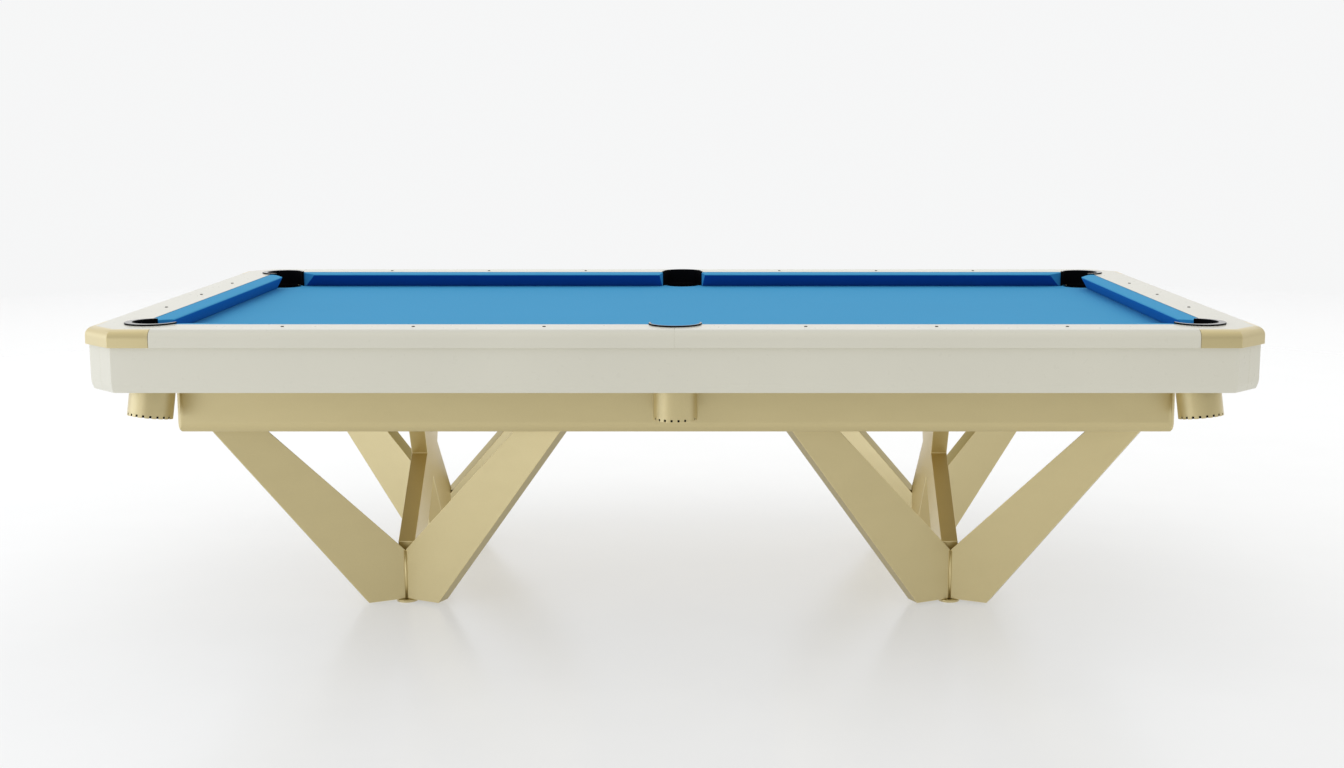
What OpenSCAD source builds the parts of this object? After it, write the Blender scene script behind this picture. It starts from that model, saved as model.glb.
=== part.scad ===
// Nine-foot pool table, built as it comes apart: rails, cushions, slates and pockets
// on a metal frame that two splayed pedestals carry on levelling feet.
// Millimetres, +Z up. The origin is on the floor under the middle of the table,
// +X runs along the length and +Y across the width.

/* [Playing field] */
// Playing length, from cushion nose to cushion nose
play_l = 2540; // [2500:10:2580]
// Playing width, from cushion nose to cushion nose
play_w = 1270; // [1250:10:1290]
// Height of the bed cloth above the floor
bed_z = 757; // [745:1:780]
// Depth of a cushion, from its nose to the rail
cushion_w = 50; // [48:1:52]
// Height of a cushion's nose above the cloth
nose_h = 36.5; // [36:0.5:37.5]
// Thickness of the bed cloth
cloth_t = 1; // [0.8:0.1:1.2]
// Thickness of the slates
slate_t = 25; // [22:1:30]

/* [Rails] */
// Width of a rail, from the cushion's nose to the rail's outer face
rail_w = 166; // [162:1:172]
// Height of a rail above the cloth
rail_h = 43; // [42:0.5:45]
// Radius of the shoulder along a rail's outer top edge
shoulder_r = 22; // [18:1:24]
// How much of each outer corner the 45 degree cut takes off
corner_cut = 80; // [70:1:90]
// Length of a corner cap, measured from the uncut corner
cap_len = 179; // [165:1:185]
// Thickness of a corner cap
cap_t = 4; // [3:0.5:5]
// Radius of a sight
sight_r = 4; // [3:0.5:5]

/* [Pockets] */
// Mouth of a corner pocket, from nose tip to nose tip
corner_mouth = 117; // [114:1:120]
// Mouth of a side pocket, from nose tip to nose tip
side_mouth = 146; // [140:1:148]
// Radius of the hole that a pocket liner fills in the rails
pocket_r = 64.5; // [63:0.5:66]
// Outer radius of a pocket cup
cup_r = 55; // [54:0.5:57]
// Depth of a cup below the slates, along its own axis
cup_h = 166; // [130:1:170]
// How far a corner cup leans outward, in degrees
cup_lean = 9; // [0:1:12]

/* [Apron] */
// Height of the apron below the rails
apron_h = 111; // [100:1:120]
// How far the apron stands behind the rails' outer face
apron_inset = 8; // [6:1:10]
// Thickness of the apron board
apron_t = 18; // [16:1:20]

/* [Frame] */
// Length of the frame
frame_l = 2524; // [2490:2:2530]
// Width of the frame
frame_w = 1208; // [1180:2:1210]
// Height of the frame's lower face above the floor
frame_z = 515; // [500:1:530]
// Wall thickness of a frame beam
beam_t = 6; // [5:0.5:8]
// Width of a beam's upper and lower flanges
beam_flange = 60; // [50:1:70]
// Radius of the frame's corners
beam_r = 22; // [16:1:26]

/* [Pedestals] */
// Distance of a pedestal from the middle of the table
leg_x = 738; // [720:1:750]
// Distance of a foot's outer edge from the middle of the table
foot_y = 356; // [340:1:370]
// Angle of a leg arm from the table's length, in degrees
arm_angle = 26; // [24:0.5:28]
// Thickness of the leg arms and of the centre brace
arm_t = 45; // [40:1:48]
// Clearance under the foot, which the levelling pad fills
foot_z = 8; // [8:0.5:10]
// Height at which the two arms of a foot part
fork_z = 144; // [130:1:160]
// Reach of an arm's sole from the foot's edge
sole_r = 103; // [95:1:110]
// Reach of an arm's upper edge at the frame
arm_in_r = 367; // [360:1:375]
// Reach of an arm's lower edge at the frame
arm_out_r = 495; // [485:1:505]
// Half width of the centre brace at its waist
waist_y = 89; // [80:1:95]
// Height of the centre brace's waist
waist_z = 357; // [340:1:370]
// Half width of the centre brace at the frame
brace_top_y = 170; // [160:1:185]
// Height of the gap between the centre brace's lower limbs
gap_z = 270; // [255:1:280]

/* [Levelling feet] */
// Radius of a levelling pad
pad_r = 29; // [24:1:30]
// Radius of a levelling stud
stud_r = 8; // [6:0.5:10]

/* [Hidden] */
$fn = 96;
eps = 1;                                     // overshoot of a cut past the face it opens
reach = 2000;                                // longer than any half of the table

// Heights
rail_z = bed_z + rail_h;                     // top of the rails
slate_top = bed_z - cloth_t;
slate_z = slate_top - slate_t;               // underside of the slates
apron_z = bed_z - apron_h;                   // lower edge of the apron

// Plan
nose_x = play_l / 2;
nose_y = play_w / 2;
back_x = nose_x + cushion_w;                 // where a cushion meets its rail
back_y = nose_y + cushion_w;
half_l = nose_x + rail_w;
half_w = nose_y + rail_w;
half_d = (half_l + half_w - corner_cut) / sqrt(2);
long_faces = [1, 2, 3];                      // sides that bound a long apron: see edged_block
end_faces = [0, 2, 3];                       // and an end apron
sight_step = play_l / 8;
sight_back = 93.66;                          // sights lie this far behind the noses
sight_proud = 1.2;                           // sights stand this far above the rails
sight_sunk = 2;
cap_lip = 1;                                 // width of a cap's flat edge on the rail
cap_gap = 1;                                 // seam between a cap's end and its rail

// Pockets
side_back = 46;                              // side liner's centre behind the nose line
corner_back = 22;                            // corner liner's centre behind both nose lines
side_drop = 9;                               // drop hole's centre behind the liner's centre
corner_drop = -8;                            // at the corners it lies in front of it
side_bore_r = 60;                            // inside of a side liner
corner_bore_r = 54;                          // and of a corner liner, round the drop hole
liner_t = 3;
rim_w = 1;                                   // overhang of the liner's rim on the rail
rim_h = 4;
ledge_h = 2;                                 // liner's ledge on the slate
throat_r = cup_r - 3.5;                      // outside of the liner's lower tube
drop_r = throat_r + 0.5;                     // hole in the slates and the cloth
cup_t = 2.5;
cup_flange_r = cup_r + 15;
cup_flange_t = 5;
cup_flange_cut = cup_r;                      // flange cut off here beside the frame's corner
cup_floor_up = 8;                            // recess under a cup's floor
slot_count = 20;                             // slots round a cup's lower rim
slot_w = 5.5;
slot_h = 7;
side_facing = 107;                           // inside angles of the cushion ends, degrees
corner_facing = 142;
side_open_y = -10;                           // where a liner's wall ends, from its centre
corner_open_y = -39;
drop_d = corner_drop / sqrt(2);
corner_px = nose_x + corner_back;
corner_py = nose_y + corner_back;
side_py = nose_y + side_back;

// Slates
slate_over = 101;                            // slate beyond the nose line, under the rails
slate_x = nose_x + slate_over;
slate_y = nose_y + slate_over;
slate_joint_x = slate_x / 3;

// Apron
apron_tuck = 27;                             // height of the apron's curved lower edge
apron_arc_r = 60;
apron_arc_out = 0.15;                        // the arc bulges this far, and the face cuts it off
ledge_w = 47;                                // apron's fixing ledge under the rails
ledge_t = 12;

// Frame
beam_tuck = 31;                              // height of the frame's curved lower edge
beam_arc_r = 50;
beam_arc_out = 0.15;                         // the arc bulges this far, as the apron's does
member_w = 60;
member_t = 4;
arm_top_x = 389;                             // arm's fixing plate from the foot, along the table
member_x = [slate_joint_x, leg_x - arm_top_x, leg_x, leg_x + arm_top_x];
foot_plate_t = 8;                            // fixing plates at the frame
arm_plate = [90, 122];
arm_plate_y = -194;
brace_plate_y = 230;

// Fasteners
rail_bolt_r = 4.5;
rail_bolt_back = 77;                         // rail bolts behind the nose line
rail_bolt_l = 52;
long_bolt_x = [230, 635, 1040];
end_bolt_y = [-400, 0, 400];
leg_bolt_r = 5;
leg_bolt_l = 30;
leg_bolt_side = 17;
leg_bolt_y = -92;                            // from the foot's edge
brace_bolt_y = 200;
screw_r = 3;
screw_head_r = 6;
screw_l = 34;
slate_screw_in = 30;                         // slate screws from the frame's outer face
slate_screw_x = [120, 370, 550, 850, 1150];
slate_screw_y = [-350, 0, 350];
apron_screw_in = 42;                         // apron screws from the rails' outer face
apron_screw_x = [250, 650, 1050];
apron_screw_y = [-450, 0, 450];

// Levelling feet
pad_gap = 0.4;                               // pad below the foot when it is screwed in
socket_z = 4;                                // bottom of the pad's socket
stud_top = 60;
stud_fit = 0.06;
stud_y = 14;                                 // stud behind the foot's edge

white = [0.91, 0.90, 0.86];
champagne = [0.78, 0.73, 0.58];
cloth_blue = [0.34, 0.62, 0.80];
cushion_blue = [0.28, 0.56, 0.75];
black = [0.08, 0.08, 0.09];
slate_grey = [0.35, 0.37, 0.38];
steel = [0.62, 0.63, 0.65];

// ---- Shared shapes --------------------------------------------------------------

// Moves what is drawn for the +X +Y quarter to another quarter of the table.
module quarter(sx, sy) {
    mirror([sx < 0 ? 1 : 0, 0, 0])
        mirror([0, sy < 0 ? 1 : 0, 0])
            children();
}

// Solid with the table's outline, its edge shaped like the child outline, which reads
// $half as half of its width. Faces lists the pairs of sides that it is cut to:
// 0 for the ends, 1 for the long sides, 2 and 3 for the corner cuts.
module edged_block(faces = [0 : 3], inset = 0) {
    turns = [0, 90, 45, -45];
    halves = [half_l, half_w, half_d, half_d];
    intersection_for (i = faces)
        rotate([90, 0, turns[i]])
            translate([0, 0, -reach])
                linear_extrude(2 * reach)
                    let ($half = halves[i] - inset)
                        children();
}

// Plan of the table's eight-sided outline.
module eight_plan(inset) {
    intersection() {
        square([2 * (half_l - inset), 2 * (half_w - inset)], center = true);
        rotate(45) square(2 * (half_d - inset), center = true);
    }
}

// Plans of the sides of the table between the corner mitres: the +Y side and the +X end.
module long_side_plan() {
    polygon([
        [-nose_x, nose_y],
        [nose_x, nose_y],
        [nose_x + reach, nose_y + reach],
        [-nose_x - reach, nose_y + reach]
    ]);
}

module end_side_plan() {
    polygon([
        [nose_x, nose_y],
        [nose_x, -nose_y],
        [nose_x + reach, -nose_y - reach],
        [nose_x + reach, nose_y + reach]
    ]);
}

// Screw with a countersunk head whose flat face is at the origin, running along -Z.
module screw() {
    translate([0, 0, -screw_l]) cylinder(r = screw_r, h = screw_l);
    translate([0, 0, -screw_r]) cylinder(r1 = screw_r, r2 = screw_head_r, h = screw_r);
}

// Hexagon-head bolt whose shank starts at the origin and runs along +Z.
module bolt(r, l) {
    cylinder(r = r, h = l);
    translate([0, 0, -1.4 * r]) cylinder(r = 2 * r, h = 1.4 * r, $fn = 6);
}

// ---- Places of the fasteners ----------------------------------------------------

module at_long_rail_bolts() {
    for (x = long_bolt_x)
        translate([x, nose_y + rail_bolt_back]) children();
}

module at_end_rail_bolts() {
    for (y = end_bolt_y)
        translate([nose_x + rail_bolt_back, y]) children();
}

module at_rail_bolts() {
    for (sx = [-1, 1]) {
        for (sy = [-1, 1])
            quarter(sx, sy) at_long_rail_bolts() children();
        quarter(sx, 1) at_end_rail_bolts() children();
    }
}

module at_slate_screws() {
    for (sx = [-1, 1]) {
        for (sy = [-1, 1])
            for (x = slate_screw_x)
                translate([sx * x, sy * (frame_w / 2 - slate_screw_in)]) children();
        for (y = slate_screw_y)
            translate([sx * (frame_l / 2 - slate_screw_in), y]) children();
    }
}

module at_long_apron_screws() {
    for (x = apron_screw_x)
        translate([x, half_w - apron_screw_in]) children();
}

module at_end_apron_screws() {
    for (y = apron_screw_y)
        translate([half_l - apron_screw_in, y]) children();
}

// ---- Bed ------------------------------------------------------------------------

// Holes that the balls drop through; at the sides they are open to the slate's edge.
module drop_holes() {
    for (sy = [-1, 1]) {
        translate([0, sy * (side_py + side_drop)]) circle(r = drop_r);
        translate([0, sy * (side_py + side_drop + drop_r)])
            square(2 * drop_r, center = true);
        for (sx = [-1, 1])
            translate([sx * (corner_px + drop_d), sy * (corner_py + drop_d)])
                circle(r = drop_r);
    }
}

// Plan of the slates together, open at the six pockets.
module bed_plan() {
    difference() {
        intersection() {
            square([2 * slate_x, 2 * slate_y], center = true);
            rotate(45)
                square(sqrt(2) * (corner_px + corner_py + 2 * drop_d), center = true);
        }
        drop_holes();
    }
}

module slate(x0, x1) {
    color(slate_grey)
    difference() {
        translate([0, 0, slate_z])
            linear_extrude(slate_t)
                intersection() {
                    bed_plan();
                    translate([x0, -slate_y]) square([x1 - x0, 2 * slate_y]);
                }
        translate([0, 0, slate_z - eps])
            at_rail_bolts() cylinder(r = rail_bolt_r + 1, h = slate_t + 2 * eps);
        translate([0, 0, slate_top])
            at_slate_screws() screw();
    }
}

module bed_cloth() {
    color(cloth_blue)
    translate([0, 0, slate_top])
        linear_extrude(cloth_t)
            difference() {
                bed_plan();
                at_rail_bolts() circle(r = rail_bolt_r + 1);
            }
}

// ---- Rails ----------------------------------------------------------------------

// Section through the whole rail top, with rounded shoulders.
module rail_section() {
    translate([-$half, bed_z])
        square([2 * $half, rail_h - shoulder_r]);
    translate([-$half + shoulder_r, bed_z])
        square([2 * ($half - shoulder_r), rail_h]);
    for (side = [-1, 1])
        translate([side * ($half - shoulder_r), rail_z - shoulder_r])
            circle(r = shoulder_r);
}

// The same section under a cap, rebated by the cap's thickness.
module rebated_section() {
    inner = $half - shoulder_r;
    translate([-$half + cap_t, bed_z - eps])
        square([2 * ($half - cap_t), rail_h - shoulder_r + eps]);
    translate([-inner, bed_z - eps])
        square([2 * inner, rail_h - cap_t + eps]);
    translate([-inner + cap_lip, bed_z - eps])
        square([2 * (inner - cap_lip), rail_h + 2 * eps]);
    for (side = [-1, 1])
        translate([side * inner, rail_z - shoulder_r])
            circle(r = shoulder_r - cap_t);
}

// Space round one corner for a cap of a given length, open outward.
module cap_space(length = cap_len) {
    difference() {
        translate([half_l - length, half_w - length, bed_z - eps / 2])
            cube([length + eps, length + eps, rail_h + eps]);
        edged_block() rebated_section();
    }
}

module corner_cap() {
    intersection() {
        edged_block() rail_section();
        cap_space(cap_len - cap_gap);
    }
}

module corner_caps() {
    color(champagne)
    for (sx = [-1, 1])
        for (sy = [-1, 1])
            quarter(sx, sy) corner_cap();
}

module liner_holes() {
    translate([0, 0, bed_z - eps]) {
        translate([0, side_py]) cylinder(r = pocket_r, h = rail_h + 2 * eps);
        for (sy = [-1, 1])
            translate([corner_px, sy * corner_py])
                cylinder(r = pocket_r, h = rail_h + 2 * eps);
    }
}

module rail_bar() {
    intersection() {
        edged_block() rail_section();
        translate([0, 0, bed_z])
            linear_extrude(rail_h)
                difference() {
                    children();
                    square([2 * back_x, 2 * back_y], center = true);
                }
    }
}

module long_rail(sx, sy) {
    color(white)
    quarter(sx, sy)
        difference() {
            rail_bar()
                intersection() {
                    long_side_plan();
                    square(2 * reach);
                }
            cap_space();
            liner_holes();
            translate([0, 0, bed_z - eps]) {
                at_long_rail_bolts()
                    cylinder(r = rail_bolt_r, h = rail_bolt_l - slate_t - cloth_t + eps);
                at_long_apron_screws()
                    cylinder(r = screw_r, h = screw_l - ledge_t + eps);
            }
            translate([0, 0, rail_z - sight_sunk])
                for (i = [1 : 3])
                    translate([i * sight_step, nose_y + sight_back])
                        cylinder(r = sight_r, h = sight_sunk + eps);
        }
}

module end_rail(sx) {
    color(white)
    quarter(sx, 1)
        difference() {
            rail_bar() end_side_plan();
            for (sy = [-1, 1]) quarter(1, sy) cap_space();
            liner_holes();
            translate([0, 0, bed_z - eps]) {
                at_end_rail_bolts()
                    cylinder(r = rail_bolt_r, h = rail_bolt_l - slate_t - cloth_t + eps);
                at_end_apron_screws()
                    cylinder(r = screw_r, h = screw_l - ledge_t + eps);
            }
            translate([0, 0, rail_z - sight_sunk])
                for (i = [-1 : 1])
                    translate([nose_x + sight_back, i * sight_step])
                        cylinder(r = sight_r, h = sight_sunk + eps);
        }
}

module sights() {
    height = sight_sunk + sight_proud;
    color(black)
    translate([0, 0, rail_z - sight_sunk])
        for (sx = [-1, 1]) {
            for (i = [-1 : 1])
                translate([sx * (nose_x + sight_back), i * sight_step])
                    cylinder(r = sight_r, h = height);
            for (sy = [-1, 1])
                for (i = [1 : 3])
                    translate([sx * i * sight_step, sy * (nose_y + sight_back)])
                        cylinder(r = sight_r, h = height);
        }
}

// ---- Cushions -------------------------------------------------------------------

// Section of a cushion: distance behind the nose line, then height.
module cushion_section() {
    polygon([
        [0, nose_h - 1.5],
        [0, nose_h],
        [4, nose_h + 2],
        [cushion_w, rail_h],
        [cushion_w, 0],
        [26, 0]
    ]);
}

// Plan of a cushion from end a to end b, whose ends lean back by the facing angles.
module cushion_plan(a, b, facing_a, facing_b) {
    polygon([
        [a, 0],
        [b, 0],
        [b + cushion_w / tan(180 - facing_b), cushion_w],
        [a - cushion_w / tan(180 - facing_a), cushion_w]
    ]);
}

module cushion_bar(a, b, facing_a, facing_b) {
    intersection() {
        translate([a - cushion_w * 2, 0, 0])
            rotate([90, 0, 90])
                linear_extrude(b - a + cushion_w * 4)
                    cushion_section();
        linear_extrude(rail_h)
            cushion_plan(a, b, facing_a, facing_b);
    }
}

module long_cushion(sx, sy) {
    color(cushion_blue)
    quarter(sx, sy)
        difference() {
            translate([0, nose_y, bed_z])
                cushion_bar(side_mouth / 2, nose_x - corner_mouth / sqrt(2),
                            side_facing, corner_facing);
            liner_holes();
        }
}

module end_cushion(sx) {
    tip = nose_y - corner_mouth / sqrt(2);
    color(cushion_blue)
    quarter(sx, 1)
        difference() {
            translate([nose_x, 0, bed_z])
                rotate([0, 0, -90])
                    cushion_bar(-tip, tip, corner_facing, corner_facing);
            liner_holes();
        }
}

// ---- Pockets --------------------------------------------------------------------

// Puts a child drawn with its mouth towards -Y at the side pocket or a corner pocket.
module at_pocket(sx, sy) {
    if (sx == 0)
        quarter(1, sy) translate([0, side_py, 0]) children();
    else
        quarter(sx, sy) translate([corner_px, corner_py, 0]) rotate([0, 0, -45]) children();
}

// Liner round the local origin: a horseshoe wall with a rim on the rail,
// a ledge at its back and a round throat down through the slate.
// A corner liner's wall is a crescent, because its bore follows the drop hole.
module pocket_liner(sx, sy) {
    side = sx == 0;
    open_y = side ? side_open_y : corner_open_y;
    drop = side ? side_drop : corner_drop;
    color(black)
    at_pocket(sx, sy) {
        difference() {
            union() {
                translate([0, 0, bed_z]) cylinder(r = pocket_r, h = rail_h);
                translate([0, 0, rail_z]) cylinder(r = pocket_r + rim_w, h = rim_h);
            }
            translate([0, side ? 0 : drop, bed_z - eps])
                cylinder(r = side ? side_bore_r : corner_bore_r, h = rail_h + rim_h + 2 * eps);
            translate([-reach, -2 * reach + open_y, bed_z - eps])
                cube([2 * reach, 2 * reach, rail_h + rim_h + 2 * eps]);
        }
        translate([0, 0, bed_z])
            linear_extrude(ledge_h)
                difference() {
                    circle(r = pocket_r);
                    translate([0, drop]) circle(r = throat_r - liner_t);
                    translate([-pocket_r, -2 * pocket_r]) square(2 * pocket_r);
                }
        translate([0, drop, slate_z - ledge_h])
            difference() {
                cylinder(r = throat_r, h = bed_z - slate_z + ledge_h);
                translate([0, 0, -eps])
                    cylinder(r = throat_r - liner_t, h = bed_z - slate_z + ledge_h + 2 * eps);
            }
    }
}

// Flange under the slates; the corner cups' is cut straight on the side of the frame.
module cup_flange(side) {
    cut_y = side ? -cup_flange_r : -cup_flange_cut;
    translate([0, 0, -cup_flange_t])
        linear_extrude(cup_flange_t)
            intersection() {
                circle(r = cup_flange_r);
                translate([-cup_flange_r, cut_y]) square(2 * cup_flange_r);
            }
}

// Outside of a cup's leaning body, cut off level under the slates.
module cup_body(lean) {
    intersection() {
        rotate([lean, 0, 0])
            translate([0, 0, -cup_h]) cylinder(r = cup_r, h = cup_h + cup_r);
        translate([0, 0, -reach / 2]) cube(reach, center = true);
    }
}

module pocket_cup(sx, sy) {
    side = sx == 0;
    lean = side ? 0 : cup_lean;
    bore_r = cup_r - cup_t;
    color(champagne)
    at_pocket(sx, sy)
        translate([0, side ? side_drop : corner_drop, slate_z])
            difference() {
                union() {
                    cup_body(lean);
                    cup_flange(side);
                }
                rotate([lean, 0, 0])
                    translate([0, 0, -cup_h]) {
                        translate([0, 0, -eps]) cylinder(r = bore_r, h = cup_floor_up + eps);
                        translate([0, 0, cup_floor_up + cup_t])
                            cylinder(r = bore_r, h = cup_h + cup_r);
                        for (i = [0 : slot_count / 2 - 1])
                            rotate([0, 0, (i + 0.5) * 360 / slot_count])
                                cube([3 * cup_r, slot_w, 2 * slot_h], center = true);
                    }
            }
}

// ---- Apron ----------------------------------------------------------------------

// Section through the whole apron, whose lower edge curves inward.
module apron_section() {
    arc_z = apron_z + apron_tuck;
    intersection() {
        union() {
            translate([-$half, arc_z]) square([2 * $half, apron_h - apron_tuck]);
            translate([-$half + apron_arc_r, apron_z])
                square([2 * ($half - apron_arc_r), apron_h]);
            for (side = [-1, 1])
                translate([side * ($half - apron_arc_r + apron_arc_out), arc_z])
                    circle(r = apron_arc_r);
        }
        translate([-$half, apron_z]) square([2 * $half, apron_h]);
    }
}

module apron_bar(faces) {
    difference() {
        intersection() {
            edged_block(faces, apron_inset) apron_section();
            linear_extrude(bed_z) children();
        }
        translate([0, 0, apron_z - eps])
            linear_extrude(apron_h - ledge_t + eps)
                eight_plan(apron_inset + apron_t);
        translate([0, 0, apron_z - eps])
            linear_extrude(apron_h + 2 * eps)
                eight_plan(apron_inset + ledge_w);
    }
}

module apron_screw_holes() {
    translate([0, 0, bed_z - ledge_t]) mirror([0, 0, 1]) children();
}

module long_apron(sy) {
    color(white)
    quarter(1, sy)
        difference() {
            apron_bar(long_faces) long_side_plan();
            for (sx = [-1, 1])
                quarter(sx, 1) at_long_apron_screws() apron_screw_holes() screw();
        }
}

module end_apron(sx) {
    color(white)
    quarter(sx, 1)
        difference() {
            apron_bar(end_faces) end_side_plan();
            at_end_apron_screws() apron_screw_holes() screw();
        }
}

// ---- Frame ----------------------------------------------------------------------

// Rectangle whose corner arcs meet its sides at a faint angle.
module round_plan(l, w, r) {
    x = l / 2 - r + beam_arc_out;
    y = w / 2 - r + beam_arc_out;
    intersection() {
        union() {
            square([l - 2 * r, w], center = true);
            square([l, w - 2 * r], center = true);
            for (sx = [-1, 1])
                for (sy = [-1, 1])
                    translate([sx * x, sy * y]) circle(r = r);
        }
        square([l, w], center = true);
    }
}

// Section across the frame block, whose lower edges curve inward.
module frame_section(half, inset) {
    r = beam_arc_r - inset;
    arc_z = frame_z + beam_tuck;
    height = slate_z - frame_z - 2 * inset;
    intersection() {
        union() {
            translate([-half, arc_z]) square([2 * half, slate_z - inset - arc_z]);
            translate([-half + r, frame_z + inset]) square([2 * (half - r), height]);
            for (side = [-1, 1])
                translate([side * (half - r + beam_arc_out), arc_z]) circle(r = r);
        }
        translate([-half, frame_z + inset]) square([2 * half, height]);
    }
}

module frame_block(inset) {
    intersection() {
        rotate([90, 0, 0])
            translate([0, 0, -reach])
                linear_extrude(2 * reach) frame_section(frame_l / 2 - inset, inset);
        rotate([90, 0, 90])
            translate([0, 0, -reach])
                linear_extrude(2 * reach) frame_section(frame_w / 2 - inset, inset);
        translate([0, 0, frame_z])
            linear_extrude(slate_z - frame_z)
                round_plan(frame_l - 2 * inset, frame_w - 2 * inset, beam_r - inset);
    }
}

module frame_ring() {
    difference() {
        frame_block(0);
        frame_block(beam_t);
        translate([0, 0, frame_z - eps])
            linear_extrude(slate_z - frame_z + 2 * eps)
                square([frame_l - 2 * beam_flange, frame_w - 2 * beam_flange], center = true);
        translate([0, 0, slate_top]) at_slate_screws() screw();
    }
}

// Plan of the beam on +Y or, with end set, on +X, mitred at the frame's corners.
module beam_plan(end) {
    x = frame_l / 2;
    y = frame_w / 2;
    depth = beam_flange + eps;
    if (end)
        polygon([[x, y], [x, -y], [x - depth, -y + depth], [x - depth, y - depth]]);
    else
        polygon([[x, y], [-x, y], [-x + depth, y - depth], [x - depth, y - depth]]);
}

module frame_beam(sx, sy, end) {
    color(champagne)
    quarter(sx, sy)
        intersection() {
            frame_ring();
            linear_extrude(slate_z) beam_plan(end);
        }
}

// Box tubes across the frame, under the slate joints and over the pedestals.
module frame_cross_members() {
    length = frame_w - 2 * beam_flange;
    color(champagne)
    difference() {
        for (sx = [-1, 1])
            for (x = member_x)
                translate([sx * x, 0, (frame_z + slate_z) / 2])
                    difference() {
                        cube([member_w, length, slate_z - frame_z], center = true);
                        cube([member_w - 2 * member_t, length + eps,
                              slate_z - frame_z - 2 * member_t], center = true);
                    }
        translate([0, 0, frame_z]) at_leg_bolts() cylinder(r = leg_bolt_r, h = 2 * member_t);
    }
}

// ---- Pedestals ------------------------------------------------------------------

// Puts a child at a foot's outer edge, with +X along the chosen arm and +Y inward.
module at_foot(sx, sy, side) {
    translate([sx * leg_x, sy * foot_y, 0])
        mirror([sx * side < 0 ? 1 : 0, 0, 0])
            mirror([0, sy > 0 ? 1 : 0, 0])
                children();
}

module at_leg_bolts() {
    for (sx = [-1, 1]) {
        for (sy = [-1, 1])
            for (side = [-1, 1])
                at_foot(sx, sy, side)
                    for (across = [-1, 1])
                        translate([arm_top_x + across * leg_bolt_side, leg_bolt_y]) children();
        for (sy = [-1, 1])
            translate([sx * leg_x, sy * brace_bolt_y]) children();
    }
}

// Tapered board of an arm, from the foot's mitre up to the frame.
module arm_board() {
    back = arm_t * tan(arm_angle);
    rise = (frame_z - fork_z) / arm_in_r;
    intersection() {
        rotate([0, 0, -arm_angle])
            translate([0, arm_t, 0])
                rotate([90, 0, 0])
                    linear_extrude(arm_t)
                        polygon([
                            [-back, foot_z],
                            [sole_r, foot_z],
                            [arm_out_r, frame_z],
                            [arm_in_r, frame_z],
                            [-back, fork_z - back * rise]
                        ]);
        translate([0, -reach / 2, 0]) cube([reach, reach, frame_z]);
    }
}

module leg_arm(sx, sy, side) {
    color(champagne)
    at_foot(sx, sy, side)
        difference() {
            union() {
                arm_board();
                translate([arm_top_x - arm_plate[0] / 2, arm_plate_y, frame_z - foot_plate_t])
                    cube([arm_plate[0], arm_plate[1], foot_plate_t]);
            }
            translate([0, stud_y, foot_z - eps])
                cylinder(r = stud_r + stud_fit, h = stud_top + 2 * eps - foot_z);
            for (across = [-1, 1])
                translate([arm_top_x + across * leg_bolt_side, leg_bolt_y,
                           frame_z - foot_plate_t - eps])
                    cylinder(r = leg_bolt_r, h = foot_plate_t + 2 * eps);
        }
}

// Hourglass board between the two feet of a pedestal, under a cross member.
module brace(sx) {
    foot_in = foot_y - sole_r;                   // inner end of the sole
    butt_y = foot_y - arm_t / 2;                 // buried in the arms, then cut back
    slope = (waist_z - fork_z) / (foot_y - waist_y);
    butt_z = waist_z - slope * (butt_y - waist_y);
    color(champagne)
    difference() {
        translate([sx * leg_x, 0, 0]) {
            rotate([90, 0, 90])
                translate([0, 0, -arm_t / 2])
                    linear_extrude(arm_t)
                        polygon([
                            [-butt_y, foot_z], [-foot_in, foot_z], [0, gap_z],
                            [foot_in, foot_z], [butt_y, foot_z], [butt_y, butt_z],
                            [waist_y, waist_z], [brace_top_y, frame_z],
                            [-brace_top_y, frame_z], [-waist_y, waist_z], [-butt_y, butt_z]
                        ]);
            translate([-member_w / 2, -brace_plate_y, frame_z - foot_plate_t])
                cube([member_w, 2 * brace_plate_y, foot_plate_t]);
        }
        for (sy = [-1, 1]) {
            for (side = [-1, 1])
                at_foot(sx, sy, side) arm_board();
            translate([sx * leg_x, sy * brace_bolt_y, frame_z - foot_plate_t - eps])
                cylinder(r = leg_bolt_r, h = foot_plate_t + 2 * eps);
        }
    }
}

// ---- Levelling feet -------------------------------------------------------------

module leveller_pad(sx, sy) {
    color(champagne)
    at_foot(sx, sy, 1)
        translate([0, stud_y, 0])
            difference() {
                union() {
                    cylinder(r = pad_r, h = foot_z - pad_gap - 2);
                    translate([0, 0, foot_z - pad_gap - 2])
                        cylinder(r1 = pad_r, r2 = pad_r - 2, h = 2);
                }
                translate([0, 0, socket_z]) cylinder(r = stud_r + stud_fit, h = foot_z);
            }
}

module leveller_stud(sx, sy) {
    color(steel)
    at_foot(sx, sy, 1)
        translate([0, stud_y, socket_z]) cylinder(r = stud_r, h = stud_top - socket_z);
}

// ---- Fasteners ------------------------------------------------------------------

module rail_bolts() {
    color(steel)
    translate([0, 0, slate_z])
        at_rail_bolts() bolt(rail_bolt_r, rail_bolt_l);
}

module leg_bolts() {
    color(steel)
    translate([0, 0, frame_z - foot_plate_t])
        at_leg_bolts() bolt(leg_bolt_r, leg_bolt_l);
}

module countersunk_screws() {
    color(steel) {
        translate([0, 0, slate_top]) at_slate_screws() screw();
        for (sx = [-1, 1]) {
            for (sy = [-1, 1])
                quarter(sx, sy) at_long_apron_screws() apron_screw_holes() screw();
            quarter(sx, 1) at_end_apron_screws() apron_screw_holes() screw();
        }
    }
}

// ---- Assembly -------------------------------------------------------------------

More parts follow.
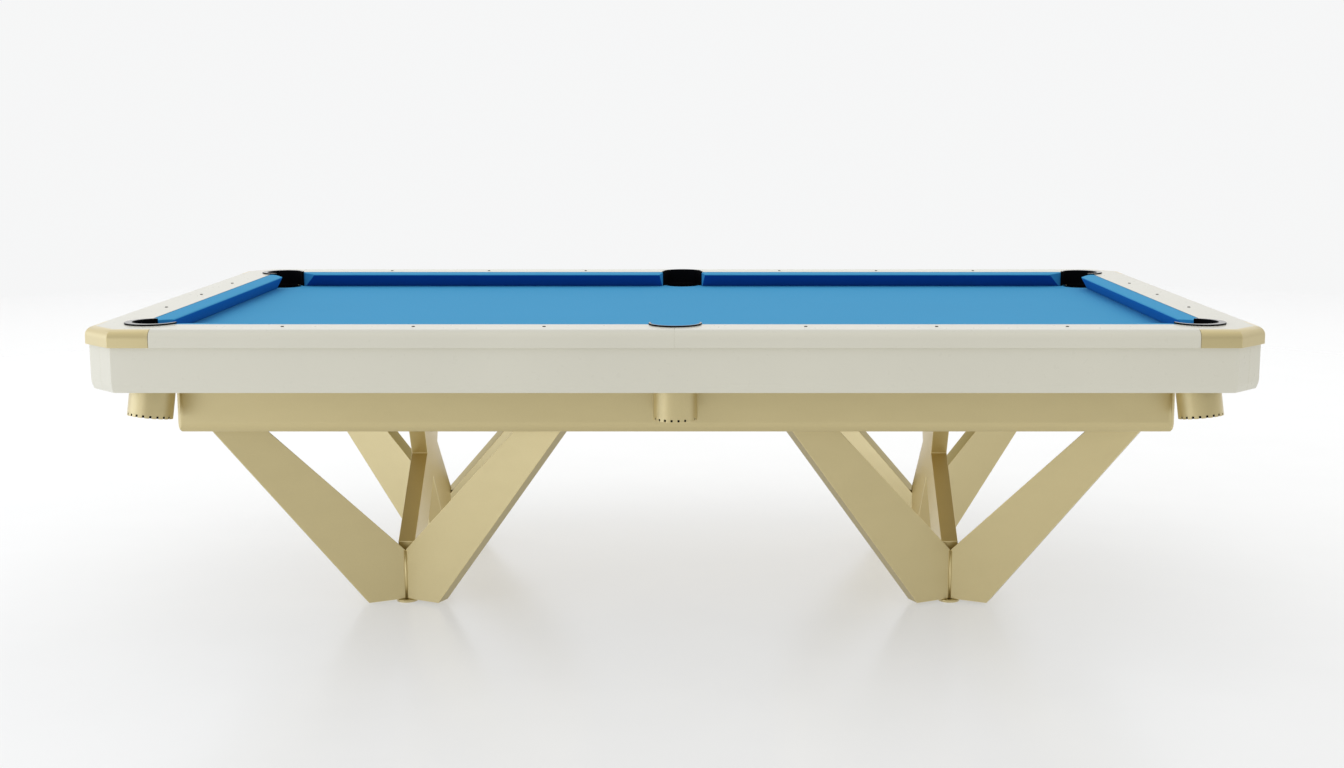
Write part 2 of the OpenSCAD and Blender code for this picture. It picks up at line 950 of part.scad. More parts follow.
bed_cloth();
slate(-slate_x, -slate_joint_x);  // slate_left
slate(-slate_joint_x, slate_joint_x);  // slate_centre
slate(slate_joint_x, slate_x);  // slate_right
long_rail(-1, -1);  // rail_front_left
long_rail(1, -1);  // rail_front_right
long_rail(-1, 1);  // rail_rear_left
long_rail(1, 1);  // rail_rear_right
end_rail(-1);  // rail_left_end
end_rail(1);  // rail_right_end
corner_caps();
sights();
long_cushion(-1, -1);  // cushion_front_left
long_cushion(1, -1);  // cushion_front_right
long_cushion(-1, 1);  // cushion_rear_left
long_cushion(1, 1);  // cushion_rear_right
end_cushion(-1);  // cushion_left_end
end_cushion(1);  // cushion_right_end
pocket_liner(-1, -1);  // pocket_liner_front_left
pocket_liner(0, -1);  // pocket_liner_front_centre
pocket_liner(1, -1);  // pocket_liner_front_right
pocket_liner(-1, 1);  // pocket_liner_rear_left
pocket_liner(0, 1);  // pocket_liner_rear_centre
pocket_liner(1, 1);  // pocket_liner_rear_right
pocket_cup(-1, -1);  // pocket_cup_front_left
pocket_cup(0, -1);  // pocket_cup_front_centre
pocket_cup(1, -1);  // pocket_cup_front_right
pocket_cup(-1, 1);  // pocket_cup_rear_left
pocket_cup(0, 1);  // pocket_cup_rear_centre
pocket_cup(1, 1);  // pocket_cup_rear_right
long_apron(-1);  // apron_front
long_apron(1);  // apron_rear
end_apron(-1);  // apron_left
end_apron(1);  // apron_right
frame_beam(1, -1, false);  // frame_beam_front
frame_beam(1, 1, false);  // frame_beam_rear
frame_beam(-1, 1, true);  // frame_beam_left
frame_beam(1, 1, true);  // frame_beam_right
frame_cross_members();
leg_arm(-1, -1, 1);  // left_front_outer_arm
leg_arm(-1, -1, -1);  // left_front_inner_arm
leg_arm(-1, 1, 1);  // left_rear_outer_arm
leg_arm(-1, 1, -1);  // left_rear_inner_arm
leg_arm(1, -1, 1);  // right_front_outer_arm
leg_arm(1, -1, -1);  // right_front_inner_arm
leg_arm(1, 1, 1);  // right_rear_outer_arm
leg_arm(1, 1, -1);  // right_rear_inner_arm
brace(-1);  // left_brace
brace(1);  // right_brace
leveller_pad(-1, -1);  // leveller_pad_left_front
leveller_pad(-1, 1);  // leveller_pad_left_rear
leveller_pad(1, -1);  // leveller_pad_right_front
leveller_pad(1, 1);  // leveller_pad_right_rear
leveller_stud(-1, -1);  // leveller_stud_left_front
leveller_stud(-1, 1);  // leveller_stud_left_rear
leveller_stud(1, -1);  // leveller_stud_right_front
leveller_stud(1, 1);  // leveller_stud_right_rear
rail_bolts();
leg_bolts();
countersunk_screws();
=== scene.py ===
import math

import bmesh
import bpy
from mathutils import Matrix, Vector


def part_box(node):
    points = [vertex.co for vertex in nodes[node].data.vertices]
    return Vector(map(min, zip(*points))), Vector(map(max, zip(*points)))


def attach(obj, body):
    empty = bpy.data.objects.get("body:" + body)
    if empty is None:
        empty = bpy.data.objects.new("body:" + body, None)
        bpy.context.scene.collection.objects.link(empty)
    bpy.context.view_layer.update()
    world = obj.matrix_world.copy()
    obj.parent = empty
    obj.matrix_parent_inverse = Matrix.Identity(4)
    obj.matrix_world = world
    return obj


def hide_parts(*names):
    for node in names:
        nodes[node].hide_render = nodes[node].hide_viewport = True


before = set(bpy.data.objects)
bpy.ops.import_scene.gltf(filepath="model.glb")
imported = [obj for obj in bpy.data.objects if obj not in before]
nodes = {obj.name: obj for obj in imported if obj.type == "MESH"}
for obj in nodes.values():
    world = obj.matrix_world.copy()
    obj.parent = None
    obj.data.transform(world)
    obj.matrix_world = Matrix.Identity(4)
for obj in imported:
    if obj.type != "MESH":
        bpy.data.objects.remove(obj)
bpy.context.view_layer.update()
BODY = "table"

# Camera, level across the picture and tilted down; its lens is in millimetres
CAMERA_PLACE = (0.0712, -4.7813, 1.313)
CAMERA_DOWN = math.radians(9.17)
CAMERA_LENS = 45.07
CAMERA_SHIFT = -0.024

# Cushions and pockets: places that the CAD boxes don't give
CORNER_MOUTH = 0.117            # between the two noses at a corner pocket
SIDE_MOUTH = 0.146              # between the two noses at a side pocket
CORNER_FACING = math.radians(142)   # from a cushion's nose to its end, seen from above
SIDE_FACING = math.radians(107)
NOSE_HEIGHT = 0.0365            # over the bed, at the middle of the nose's arc
NOSE_RADIUS = 0.0035
NOSE_END = math.radians(95)     # where the nose's arc runs into the top
UNDERCUT = 0.026                # from the nose line back to the foot of the face
CROWN = 0.0006                  # swell of a cushion's top
FEATHER = 0.0012                # the cloth dips this far where it is tucked in at the rail
FEATHER_WIDTH = 0.002
LINER_RADIUS = 0.0645
LINER_SETBACK = {"side": 0.046, "corner": 0.022}    # its middle, from the nose lines
CUP_DEPTH = 0.166               # along its axis, from the slates' underside
CUP_LEAN = math.radians(9)
CUP_SETBACK = {"side": 0.055, "corner": 0.022 - 0.008 / math.sqrt(2)}

# Black ring in the foot of a cup: a dark piece that stands in for the shade seen through the cup's
# slots
RING_RADIUS = 0.0518
RING_THICK = 0.004
RING_HEIGHT = 0.0066
RING_RISE = 0.0043              # from the cup's end to the ring's middle

# Weld bead between the two arms of a foot, in the lighter edge metal: a painted highlight
STUD_SETBACK = 0.014            # levelling stud behind the foot's edge
SEAM_RADIUS = 0.0035
SEAM_LENGTH = 0.133
SEAM_MIDDLE = 0.0755            # height of the bead's middle

# Widths of the softened edges
RAIL_EDGE = 0.0006
SLATE_EDGE = 0.0006
PANEL_EDGE = 0.0009             # on the aprons and the frame's beams
CAP_EDGE = 0.0004
ARM_EDGE = 0.0014               # on the legs' arms and braces
TURNED_EDGE = 0.0005            # on the cups and the levelling pads
SIGHT_EDGE = 0.0005
LINER_EDGE = 0.0012
CUSHION_EDGE = 0.0018
HARDWARE_EDGE = 0.0003

# Clean-up of the CAD meshes
WELD = 1e-5                     # vertices nearer than this are one
FLAT = math.radians(0.4)        # faces that turn by less than this are one

# Colours, linear
WHITE = (0.80, 0.78, 0.662)
PAINTED_TOP_SHADE = (0.88, 0.89, 0.92)     # painted shade: what is left of the white on faces that look up
CHAMPAGNE = (0.66, 0.555, 0.285)
# painted shade on the arms' narrow faces
NARROW_FACE_SHADE_GOLD = (0.43, 0.335, 0.08)
# painted shade and bounce light on the braces, which have the same finish as the rest of the metal
BRACE_SHADE_GOLD = (0.64, 0.51, 0.215)
BLUE = (0.05, 0.335, 0.62)
# painted shade on the cushions' faces that look down or to a side; the second is for the end
# cushions
PAINTED_SHADE_BLUE = (0.0, 0.07, 0.34)
PAINTED_SHADE_END_BLUE = (0.0, 0.17, 0.52)
BLACK = (0.0015, 0.0015, 0.0022)

# Studio
SKY_COLOR = (1.0, 0.995, 0.985)
SKY_LEVEL = 0.80                # mean strength of the light
SKY_SLOPE = (-0.12, 0.235, 0.16)    # what it gains towards +X, +Y and +Z
SKY_SEEN = (0.922, 0.925, 0.927)    # the backdrop that the camera sees
FLOOR_RADIUS = 9.5
FLOOR_FADE = (3.5, 9.0)         # distances over which the floor fades out
FLOOR_GLOW = (0.985, 1, 1.02)
FLOOR_GLOW_STRENGTH = 0.42
FLOOR_GREY = ((0.465, 0.465, 0.46), (0.48, 0.48, 0.475))


# ---- Node helpers ----------------------------------------------------------------


def add(tree, kind, inputs=None, **settings):
    """A new node. An input is a value, or the socket that feeds it."""
    made = tree.nodes.new(kind)
    for name, value in settings.items():
        setattr(made, name, value)
    for name, value in (inputs or {}).items():
        if isinstance(value, bpy.types.NodeSocket):
            tree.links.new(value, made.inputs[name])
        else:
            made.inputs[name].default_value = value
    return made


def socket_name(key):
    """Name of a shader's socket: base_color gives Base Color."""
    return key.replace("_", " ").title().replace("Ior", "IOR")


def material(name, **values):
    """A Principled material, with its even values set on the shader's own sockets."""
    made = bpy.data.materials.new(name)
    made.use_nodes = True
    shader = made.node_tree.nodes["Principled BSDF"]
    for key, value in values.items():
        shader.inputs[socket_name(key)].default_value = value
    return made, made.node_tree, shader


def feed(tree, shader, **sockets):
    """Links sockets to the shader's inputs."""
    for key, socket in sockets.items():
        tree.links.new(socket, shader.inputs[socket_name(key)])


def noise(tree, scale, detail=4.0, stretch=(1, 1, 1)):
    """Noise on the piece's own coordinates, from 0 to 1; scale is in waves a metre."""
    place = add(tree, "ShaderNodeTexCoord").outputs["Object"]
    place = add(tree, "ShaderNodeMapping", {"Vector": place, "Scale": stretch})
    made = add(tree, "ShaderNodeTexNoise",
               {"Vector": place.outputs["Vector"], "Scale": scale, "Detail": detail})
    return made.outputs["Fac"]


def facing(tree, axis):
    """How squarely a face looks along that axis of the room, from -1 to 1."""
    normal = add(tree, "ShaderNodeNewGeometry").outputs["Normal"]
    return add(tree, "ShaderNodeSeparateXYZ", {"Vector": normal}).outputs[axis]


def calculate(tree, operation, *values):
    """Result of an operation on numbers or sockets."""
    made = add(tree, "ShaderNodeMath", dict(enumerate(values)), operation=operation)
    return made.outputs["Value"]


def between(tree, factor, low, high, start=0.3, end=0.7):
    """Number that goes from low to high as factor goes from start to end."""
    return add(tree, "ShaderNodeMapRange", {
        "Value": factor, "From Min": start, "From Max": end, "To Min": low, "To Max": high,
    }).outputs["Result"]


def tint(tree, factor, dark, light, start=0.3, end=0.7):
    """Colour that goes from dark to light as factor goes from start to end."""
    ramp = add(tree, "ShaderNodeValToRGB", {"Fac": factor})
    ramp.color_ramp.elements[0].position = start
    ramp.color_ramp.elements[0].color = (*dark, 1)
    ramp.color_ramp.elements[1].position = end
    ramp.color_ramp.elements[1].color = (*light, 1)
    return ramp.outputs["Color"]


def blend(tree, factor, first, second, how="MIX"):
    """Colour that goes from first to second with factor; each is a colour or a socket."""
    made = add(tree, "ShaderNodeMix", {"Factor": factor, 6: first, 7: second},
               data_type="RGBA", blend_type=how)
    return made.outputs[2]


def blend_shaders(tree, factor, first, second):
    """Shader that goes from first to second with factor."""
    made = add(tree, "ShaderNodeMixShader",
               {"Fac": factor, 1: first.outputs[0], 2: second.outputs[0]})
    return made.outputs[0]


def bump(tree, shader, height, distance, strength=1.0):
    """Fine relief on the shader; distance is the height of a full step."""
    made = add(tree, "ShaderNodeBump",
               {"Height": height, "Distance": distance, "Strength": strength})
    tree.links.new(made.outputs["Normal"], shader.inputs["Normal"])


def times(color, factor):
    """The colour, lighter or darker."""
    return tuple(min(1.0, c * factor) for c in color)


# ---- Materials -------------------------------------------------------------------


def white_lacquer(name, lighter=1.0, roughness=0.3):
    """Sprayed lacquer: a faint orange peel under a clear coat, with slight clouding.
    The faces that point up are a little greyer: painted shade."""
    made, tree, shader = material(name, coat_weight=0.2, coat_roughness=0.12,
                                  specular_ior_level=0.25)
    color = times(WHITE, lighter)
    cloud = noise(tree, 3.0, detail=3.0)
    # painted shade: the faces that look up are made greyer
    upward = between(tree, facing(tree, "Z"), 0, 1, start=0.6, end=0.95)
    feed(tree, shader,
         base_color=blend(tree, upward,
                          tint(tree, cloud, times(color, 0.98), times(color, 1.01)),
                          (*PAINTED_TOP_SHADE, 1), "MULTIPLY"),
         roughness=between(tree, noise(tree, 60.0), roughness - 0.03, roughness + 0.04))
    bump(tree, shader, noise(tree, 260.0, detail=2.0), distance=0.000008, strength=0.4)
    return made


def champagne_metal(name, color, roughness=0.44, sideways_shade=None):
    """Satin metallic finish: fine flakes, cloudy sheen and faint rubbing marks. Faces that look
    neither to the front nor to the rear, such as the arms' narrow ones, can take a deeper gold as
    painted shade."""
    made, tree, shader = material(name, metallic=1.0, coat_weight=1.0, coat_roughness=0.35)
    flakes = noise(tree, 1800.0, detail=1.0)
    rubbed = noise(tree, 9.0, detail=6.0, stretch=(1, 1, 3))
    # painted shade: faces that look neither to the front nor to the rear take the deeper gold
    outward = facing(tree, "Y")
    squared = calculate(tree, "MULTIPLY", outward, outward)
    feed(tree, shader,
         base_color=blend(tree, between(tree, squared, 0, 1, start=0.1, end=0.4),
                          (*(sideways_shade or color), 1),
                          tint(tree, flakes, times(color, 0.94), times(color, 1.05))),
         roughness=between(tree, rubbed, roughness - 0.02, roughness + 0.02))
    bump(tree, shader, flakes, distance=0.00002, strength=0.5)
    return made


def weave(tree, pitch):
    """Height of a plain weave of that pitch, its threads along X and Y and up the faces."""
    place = add(tree, "ShaderNodeTexCoord").outputs["Object"]
    scale = math.pi / 10 / pitch            # the bands repeat every pi / 10 / scale
    threads = []
    for axis in "XY":
        made = add(tree, "ShaderNodeTexWave",
                   {"Vector": place, "Scale": scale, "Distortion": 0.4,
                    "Detail": 1.0, "Detail Scale": 3.0},
                   wave_type="BANDS", bands_direction=axis)
        threads.append(made.outputs["Fac"])
    return calculate(tree, "MAXIMUM", *threads)


def cloth(name, shaded=BLUE, shaded_ends=BLUE):
    """Worsted cloth: a tight plain weave with a short nap, slightly faded by wear. Where it faces
    down or to a side it takes the colour shaded, or shaded_ends if it looks along the table:
    painted shade."""
    made, tree, shader = material(name, specular_ior_level=0.2)
    threads = weave(tree, pitch=0.0011)
    worn = between(tree, noise(tree, 2.2, detail=5.0), 0.42, 0.58)
    fibres = noise(tree, 900.0, detail=3.0)
    # painted shade: faces that look down or to a side take the shaded colours
    along = calculate(tree, "ABSOLUTE", facing(tree, "X"))
    feed(tree, shader,
         base_color=blend(tree, between(tree, facing(tree, "Z"), 0, 1, start=-0.4, end=0.3),
                          tint(tree, along, shaded, shaded_ends),
                          tint(tree, worn, times(BLUE, 0.97), times(BLUE, 1.03))),
         roughness=between(tree, fibres, 0.78, 0.95))
    bump(tree, shader, calculate(tree, "MULTIPLY", threads, fibres),
         distance=0.00015, strength=0.35)
    return made


def pocket_rubber(name, roughness=0.6):
    """Moulded black liner with a fine grain, matt inside and polished where it faces up."""
    made, tree, shader = material(name)
    grain = noise(tree, 700.0, detail=3.0)
    scuffs = noise(tree, 30.0, detail=6.0)
    up = facing(tree, "Z")
    matt = between(tree, scuffs, roughness - 0.08, roughness + 0.1)
    feed(tree, shader,
         base_color=tint(tree, scuffs, BLACK, times(BLACK, 1.9)),
         roughness=between(tree, up, matt, 0.14, start=0.8, end=0.95),
         specular_ior_level=between(tree, up, 0.05, 0.5, start=0.8, end=0.95))
    bump(tree, shader, grain, distance=0.00002, strength=0.3)
    return made


def slate_stone(name):
    """Honed grey slate, layered and speckled."""
    made, tree, shader = material(name)
    layers = noise(tree, 14.0, detail=10.0, stretch=(1, 1, 6))
    specks = noise(tree, 240.0)
    feed(tree, shader,
         base_color=tint(tree, layers, (0.045, 0.05, 0.055), (0.13, 0.14, 0.145)),
         roughness=between(tree, specks, 0.55, 0.8))
    bump(tree, shader, specks, distance=0.0002, strength=0.5)
    return made


def zinc_steel(name):
    """Zinc-plated steel with a mottled passivated film."""
    made, tree, shader = material(name, metallic=1.0)
    mottle = noise(tree, 160.0, detail=5.0)
    feed(tree, shader,
         base_color=tint(tree, mottle, (0.42, 0.43, 0.45), (0.62, 0.63, 0.65)),
         roughness=between(tree, mottle, 0.28, 0.45))
    bump(tree, shader, noise(tree, 900.0, detail=2.0), distance=0.00002, strength=0.4)
    return made


def sight_inlay(name):
    """Dark inlay with a faint smoky figure."""
    made, tree, shader = material(name, specular_ior_level=0.0)
    figure = noise(tree, 500.0, detail=5.0)
    feed(tree, shader,
         base_color=tint(tree, figure, (0.006, 0.006, 0.005), (0.02, 0.018, 0.016)),
         roughness=between(tree, figure, 0.5, 0.65))
    return made


# ---- CAD parts -------------------------------------------------------------------


def named(*starts):
    """CAD nodes whose names start with one of these words."""
    return [n for n in sorted(nodes) if n.startswith(starts)]


def dress(names, surface, edge, width, segments=2):
    """Gives CAD nodes a material, and softens their edges in a second one; where that one is
    lighter, it is a painted highlight.
    """
    for name in names:
        piece = nodes[name]
        mesh = piece.data
        mesh.materials.clear()
        mesh.materials.append(surface)
        mesh.materials.append(edge)
        mesh.polygons.foreach_set("use_smooth", [True] * len(mesh.polygons))
        weld = piece.modifiers.new("weld", "WELD")
        weld.merge_threshold = WELD
        flat = piece.modifiers.new("flat", "DECIMATE")
        flat.decimate_type = "DISSOLVE"
        flat.angle_limit = FLAT
        soften(piece, width, segments, edge_material=1)


def soften(piece, width, segments, edge_material, angle=30):
    """Rounds the edges that turn by more than the angle, in degrees. The new faces take
    that material of the piece's list, or for -1 the one beside them."""
    bevel = piece.modifiers.new("edges", "BEVEL")
    bevel.width = width
    bevel.segments = segments
    bevel.limit_method = "ANGLE"
    bevel.angle_limit = math.radians(angle)
    bevel.material = edge_material
    bevel.use_clamp_overlap = False
    normals = piece.modifiers.new("normals", "WEIGHTED_NORMAL")
    normals.keep_sharp = True


# ---- Soft parts ------------------------------------------------------------------


def link(name, data):
    """A new object in the scene."""
    made = bpy.data.objects.new(name, data)
    bpy.context.scene.collection.objects.link(made)
    return made


def finished(name, work):
    """The edit mesh as a new mesh. The edit mesh is freed."""
    mesh = bpy.data.meshes.new(name)
    work.to_mesh(mesh)
    work.free()
    return mesh


def new_piece(name, mesh, surface, *replaced):
    """A piece that rides on the table in place of the CAD nodes named."""
    piece = link(name, mesh)
    mesh.materials.clear()
    mesh.materials.append(surface)
    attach(piece, BODY)
    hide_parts(*replaced)
    return piece


def bed_sheet(surface):
    """The bed cloth as one sheet, stretched over the slates and cut out at the pockets."""
    mesh = nodes["bed_cloth"].data.copy()
    work = bmesh.new()
    work.from_mesh(mesh)
    bmesh.ops.remove_doubles(work, verts=work.verts, dist=WELD)
    low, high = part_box("bed_cloth")
    under = [f for f in work.faces if min(v.co.z for v in f.verts) < high.z - 10 * WELD]
    bmesh.ops.delete(work, geom=under, context="FACES")
    area = sum(f.calc_area() for f in work.faces)
    work.to_mesh(mesh)
    work.free()
    piece = new_piece("bed_cloth_sheet", mesh, surface, "bed_cloth")
    thick = piece.modifiers.new("thickness", "SOLIDIFY")
    thick.thickness = high.z - low.z
    thick.offset = -1


def nose_lines():
    """Distances from the table's middle to the noses of the end and the long cushions."""
    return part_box("cushion_right_end")[0].x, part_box("cushion_rear_right")[0].y


def pocket_place(side, row, setback, height):
    """Middle of a pocket, set back from the noses; side is -1, 0 or 1 and row -1 or 1."""
    nose_x, nose_y = nose_lines()
    back = setback["corner" if side else "side"]
    return Vector((side * (nose_x + back), row * (nose_y + back), height))


def cushion_section(width, height):
    """Points round a cushion, as distance behind the nose line and height over the bed."""
    points = [(width, 0.0), (UNDERCUT, 0.0)]
    nose_steps = 8
    for i in range(nose_steps + 1):
        turn = math.pi + (NOSE_END - math.pi) * i / nose_steps
        points.append((NOSE_RADIUS + NOSE_RADIUS * math.cos(turn),
                       NOSE_HEIGHT + NOSE_RADIUS * math.sin(turn)))
    crown_steps = 6
    start = points[-1]
    for i in range(1, crown_steps):
        t = i / crown_steps
        points.append((start[0] + (width - FEATHER_WIDTH - start[0]) * t,
                       start[1] + (height - start[1]) * t + CROWN * math.sin(math.pi * t)))
    for back, dip in ((1, 1 / 6), (0.3, 0.4), (0, 1)):
        points.append((width - FEATHER_WIDTH * back, height - FEATHER * dip))
    return points


def cushion_mesh(name, ends, facings, width, height, place):
    """Sweeps the section between two ends that lean back by their facing angles."""
    section = cushion_section(width, height)
    stations = 13
    work = bmesh.new()
    rings = []
    for i in range(stations):
        t = i / (stations - 1)
        ring = []
        for back, up in section:
            low = ends[0] - back / math.tan(math.pi - facings[0])
            high = ends[1] + back / math.tan(math.pi - facings[1])
            ring.append(work.verts.new(place(low + (high - low) * t, back, up)))
        rings.append(ring)
    count = len(section)
    for before, after in zip(rings, rings[1:]):
        for j in range(count):
            k = (j + 1) % count
            work.faces.new((before[j], before[k], after[k], after[j]))
    work.faces.new(rings[0])
    work.faces.new(rings[-1])
    bmesh.ops.recalc_face_normals(work, faces=work.faces)
    for face in work.faces:
        face.smooth = True
    return finished(name, work)


def liner_cutters():
    """Cylinders where the liners pass the cushions. They cut the cushions, then go."""
    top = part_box("cushion_right_end")[1].z
    work = bmesh.new()
    for side in (0, -1, 1):
        for row in (-1, 1):
            made = bmesh.ops.create_cone(work, cap_ends=True, segments=96, depth=0.2,
                                         radius1=LINER_RADIUS, radius2=LINER_RADIUS)
            bmesh.ops.translate(work, verts=made["verts"],
                                vec=pocket_place(side, row, LINER_SETBACK, top))
    return link("cutters", finished("cutters", work))


def apply_modifiers(piece):
    """Works the piece's modifiers into its mesh."""
    bpy.context.view_layer.update()
    shape = piece.evaluated_get(bpy.context.evaluated_depsgraph_get())
    mesh = bpy.data.meshes.new_from_object(shape)
    piece.modifiers.clear()
    piece.data = mesh


def cushions(surface):
    """Six cloth-covered cushions, each a rounded section cut clear of the liners."""
    nose_x, nose_y = nose_lines()
    low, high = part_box("cushion_right_end")
    bed = low.z
    width = high.x - low.x
    height = high.z - low.z
    tip = CORNER_MOUTH / math.sqrt(2)
    cutter = liner_cutters()
    jobs = []
    for sy, row in ((-1, "front"), (1, "rear")):
        for sx, side in ((-1, "left"), (1, "right")):
            jobs.append((f"cushion_{row}_{side}", (SIDE_MOUTH / 2, nose_x - tip),
                         (SIDE_FACING, CORNER_FACING),
                         lambda a, b, h, sx=sx, sy=sy: (sx * a, sy * (nose_y + b), bed + h)))
    for sx, side in ((-1, "left"), (1, "right")):
        jobs.append((f"cushion_{side}_end", (tip - nose_y, nose_y - tip),
                     (CORNER_FACING, CORNER_FACING),
                     lambda a, b, h, sx=sx: (sx * (nose_x + b), a, bed + h)))
    for node, ends, facings, place in jobs:
        mesh = cushion_mesh(node + "_cover", ends, facings, width, height, place)
        piece = new_piece(node + "_cover", mesh, surface, node)
        cut = piece.modifiers.new("liners", "BOOLEAN")
        cut.object = cutter
        cut.operation = "DIFFERENCE"
        cut.solver = "EXACT"
        soften(piece, CUSHION_EDGE, 3, edge_material=-1, angle=38)
        apply_modifiers(piece)
    bpy.data.objects.remove(cutter)


# ---- Small pieces that the CAD leaves out ----------------------------------------


def tube(name, place, radius, thick, height, surface, turn=(0, 0, 0)):
    """A ring, or a rod where thick is the radius, upright before its turn."""
    work = bmesh.new()
    bmesh.ops.create_cone(work, cap_ends=thick >= radius, segments=64, depth=height,
                          radius1=radius, radius2=radius)
    for face in work.faces:
        face.smooth = len(face.verts) == 4
    mesh = finished(name, work)
    piece = link(name, mesh)
    mesh.materials.append(surface)
    piece.location = place
    piece.rotation_euler = turn
    if thick < radius:
        wall = piece.modifiers.new("wall", "SOLIDIFY")
        wall.thickness = thick
        wall.offset = -1
    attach(piece, BODY)


def cup_shade_rings(surface):
    """A black ring in the foot of each cup, seen through its slots: a dark piece that stands in for
    the shade inside the cup.
    """
    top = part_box("slate_centre")[0].z
    for name in named("pocket_cup"):
        row = 1 if "rear" in name else -1
        side = {"left": -1, "centre": 0, "right": 1}[name.rsplit("_", 1)[1]]
        axis = Vector((0, 0, -1))
        if side:
            axis = Vector((side * math.sin(CUP_LEAN), row * math.sin(CUP_LEAN),
                           -math.sqrt(2) * math.cos(CUP_LEAN))).normalized()
        place = pocket_place(side, row, CUP_SETBACK, top) + axis * (CUP_DEPTH - RING_RISE)
        turn = (-axis).to_track_quat("Z", "Y").to_euler()
        tube(name + "_base", place, RING_RADIUS, RING_THICK, RING_HEIGHT, surface, turn)


def foot_seams(surface):
    """The weld where the two arms of a foot meet, as a soft bead in the lighter edge metal: a
    painted highlight.
    """
    for name in named("leveller_pad"):
        low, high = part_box(name)
        middle = (low + high) / 2
        row = 1 if name.endswith("rear") else -1
        out = STUD_SETBACK + SEAM_RADIUS / 4
        tube(name.replace("leveller_pad", "foot_seam"),
             (middle.x, middle.y + row * out, SEAM_MIDDLE),
             SEAM_RADIUS, SEAM_RADIUS, SEAM_LENGTH, surface)


# ---- Studio ----------------------------------------------------------------------


def studio_world():
    """Soft light from all round, brighter from above, behind and the left; plain pale
    grey in view."""
    world = bpy.data.worlds.new("studio")
    bpy.context.scene.world = world
    world.use_nodes = True
    tree = world.node_tree
    tree.nodes.clear()
    direction = add(tree, "ShaderNodeTexCoord").outputs["Generated"]
    slope = add(tree, "ShaderNodeVectorMath", {0: direction, 1: SKY_SLOPE},
                operation="DOT_PRODUCT").outputs["Value"]
    light = add(tree, "ShaderNodeBackground",
                {"Color": (*SKY_COLOR, 1),
                 "Strength": calculate(tree, "ADD", slope, SKY_LEVEL)})
    seen = add(tree, "ShaderNodeBackground", {"Color": (*SKY_SEEN, 1)})
    camera_ray = add(tree, "ShaderNodeLightPath").outputs["Is Camera Ray"]
    add(tree, "ShaderNodeOutputWorld", {"Surface": blend_shaders(tree, camera_ray, light, seen)})


def floor():
    """Pale satin floor that fades out far from the table, so no edge shows."""
    made, tree, shader = material("floor", roughness=0.24, specular_ior_level=0.18,
                                  emission_color=(*FLOOR_GLOW, 1),
                                  emission_strength=FLOOR_GLOW_STRENGTH)
    feed(tree, shader, base_color=tint(tree, noise(tree, 3.0), *FLOOR_GREY))
    place = add(tree, "ShaderNodeTexCoord").outputs["Object"]
    away = add(tree, "ShaderNodeVectorMath", {0: place}, operation="LENGTH").outputs["Value"]
    gone = between(tree, away, 0.0, 1.0, *FLOOR_FADE)
    clear = add(tree, "ShaderNodeBsdfTransparent")
    tree.links.new(blend_shaders(tree, gone, shader, clear),
                   tree.nodes["Material Output"].inputs["Surface"])
    work = bmesh.new()
    bmesh.ops.create_circle(work, cap_ends=True, segments=64, radius=FLOOR_RADIUS)
    mesh = finished("floor", work)
    mesh.materials.append(made)
    link("floor", mesh)


def area_light(name, place, aim, size, power, color=(1, 1, 1), matt=True, glossy=True):
    """Soft rectangular lamp, itself out of sight, which lights matt surfaces, glossy
    ones, or both."""
    data = bpy.data.lights.new(name, "AREA")
    data.shape = "RECTANGLE"
    data.size, data.size_y = size
    data.energy = power
    data.color = color
    lamp = link(name, data)
    lamp.visible_camera = False
    lamp.visible_diffuse = matt
    lamp.visible_glossy = glossy
    lamp.location = place
    lamp.rotation_euler = (Vector(aim) - Vector(place)).to_track_quat("-Z", "Y").to_euler()


def camera():
    """The viewpoint, in front of the table and a little above it."""
    data = bpy.data.cameras.new("camera")
    data.lens = CAMERA_LENS
    data.shift_x = CAMERA_SHIFT
    eye = link("camera", data)
    eye.location = CAMERA_PLACE
    eye.rotation_euler = (math.pi / 2 - CAMERA_DOWN, 0, 0)
    bpy.context.scene.camera = eye


# ---- Assembly --------------------------------------------------------------------

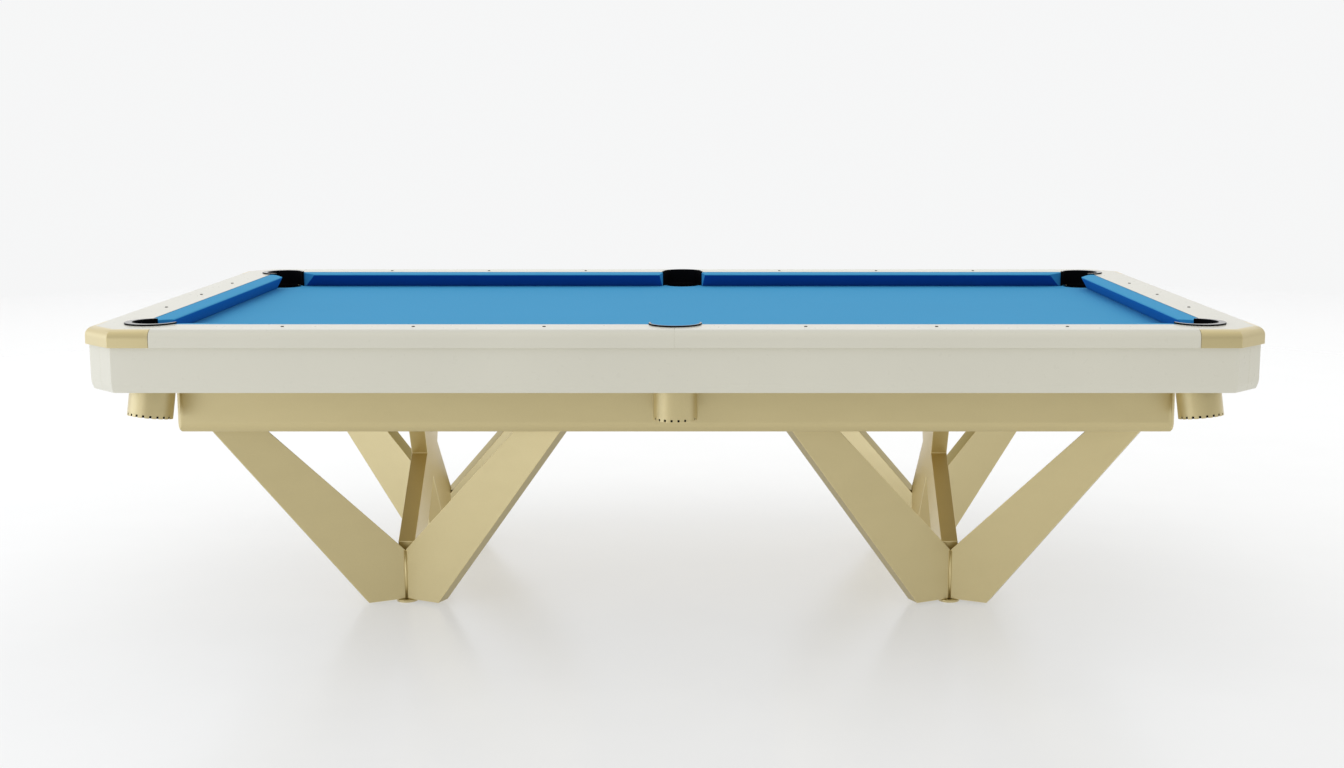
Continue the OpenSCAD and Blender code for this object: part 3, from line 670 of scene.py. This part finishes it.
lacquer = white_lacquer("white_lacquer")
# a lighter copy for the softened edges: painted highlight
lacquer_edge_highlight = white_lacquer("white_lacquer_edge", lighter=1.03, roughness=0.24)
metal = champagne_metal("champagne_metal", CHAMPAGNE)
# a lighter copy for the softened edges: painted highlight
metal_edge_highlight = champagne_metal("champagne_edge_highlight", times(CHAMPAGNE, 1.18), roughness=0.32)
# the arms' narrow faces get a painted shade
arm_metal = champagne_metal("arm_metal", CHAMPAGNE, sideways_shade=NARROW_FACE_SHADE_GOLD)
# a shaded copy of the champagne metal for the braces: painted shade
brace_shaded_metal = champagne_metal("brace_shaded_metal", BRACE_SHADE_GOLD)
rubber = pocket_rubber("pocket_rubber")
rubber_edge = pocket_rubber("pocket_rubber_edge", roughness=0.25)
stone = slate_stone("slate_stone")
steel = zinc_steel("zinc_steel")
inlay = sight_inlay("sight_inlay")

arms = [n for n in nodes if n.endswith("_arm")]
braces = [n for n in nodes if n.endswith("_brace")]
hardware = named("leveller_stud", "rail_bolts", "leg_bolts", "countersunk")
dress(named("rail_front", "rail_rear", "rail_left", "rail_right"), lacquer, lacquer_edge_highlight, RAIL_EDGE)
dress(named("apron"), lacquer, lacquer_edge_highlight, PANEL_EDGE)
dress(named("corner_caps"), metal, metal_edge_highlight, CAP_EDGE)
dress(named("frame_beam", "frame_cross"), metal, metal_edge_highlight, PANEL_EDGE)
dress(arms, arm_metal, metal_edge_highlight, ARM_EDGE)
dress(braces, brace_shaded_metal, metal_edge_highlight, ARM_EDGE)
dress(named("pocket_cup", "leveller_pad"), metal, metal_edge_highlight, TURNED_EDGE)
dress(named("pocket_liner"), rubber, rubber_edge, LINER_EDGE, segments=3)
dress(named("slate"), stone, stone, SLATE_EDGE)
dress(named("sights"), inlay, inlay, SIGHT_EDGE)
dress(hardware, steel, steel, HARDWARE_EDGE)

bed_sheet(cloth("bed_cloth"))
cushions(cloth("cushion_cloth", shaded=PAINTED_SHADE_BLUE, shaded_ends=PAINTED_SHADE_END_BLUE))
cup_shade_rings(rubber)
foot_seams(metal_edge_highlight)

studio_world()
floor()
area_light("overhead", (0.0, 0.3, 3.6), aim=(0, 0, 0), size=(5.0, 3.0), power=4, glossy=False)
area_light("under_fill", (0.0, 0.0, 0.5), aim=(0, 0, 0), size=(2.2, 0.9), power=1.7,
           color=(1.0, 0.88, 0.68))
area_light("rear_fill", (0.0, 0.0, 0.3), aim=(0, 0.7, 0.3), size=(2.4, 0.3), power=1.6,
           color=(0.9, 1.0, 1.3), matt=False)
area_light("left_low", (-2.6, -2.6, 0.5), aim=(-0.7, -0.4, 0.35), size=(1.2, 0.6), power=2.5,
           color=(0.95, 1.0, 1.2))
area_light("left_soft", (-4.3, -1.2, 1.1), aim=(-0.6, 0, 0.5), size=(3.0, 1.8), power=13,
           color=(0.92, 1.05, 1.4))
camera()
bpy.context.scene.view_settings.view_transform = "Standard"
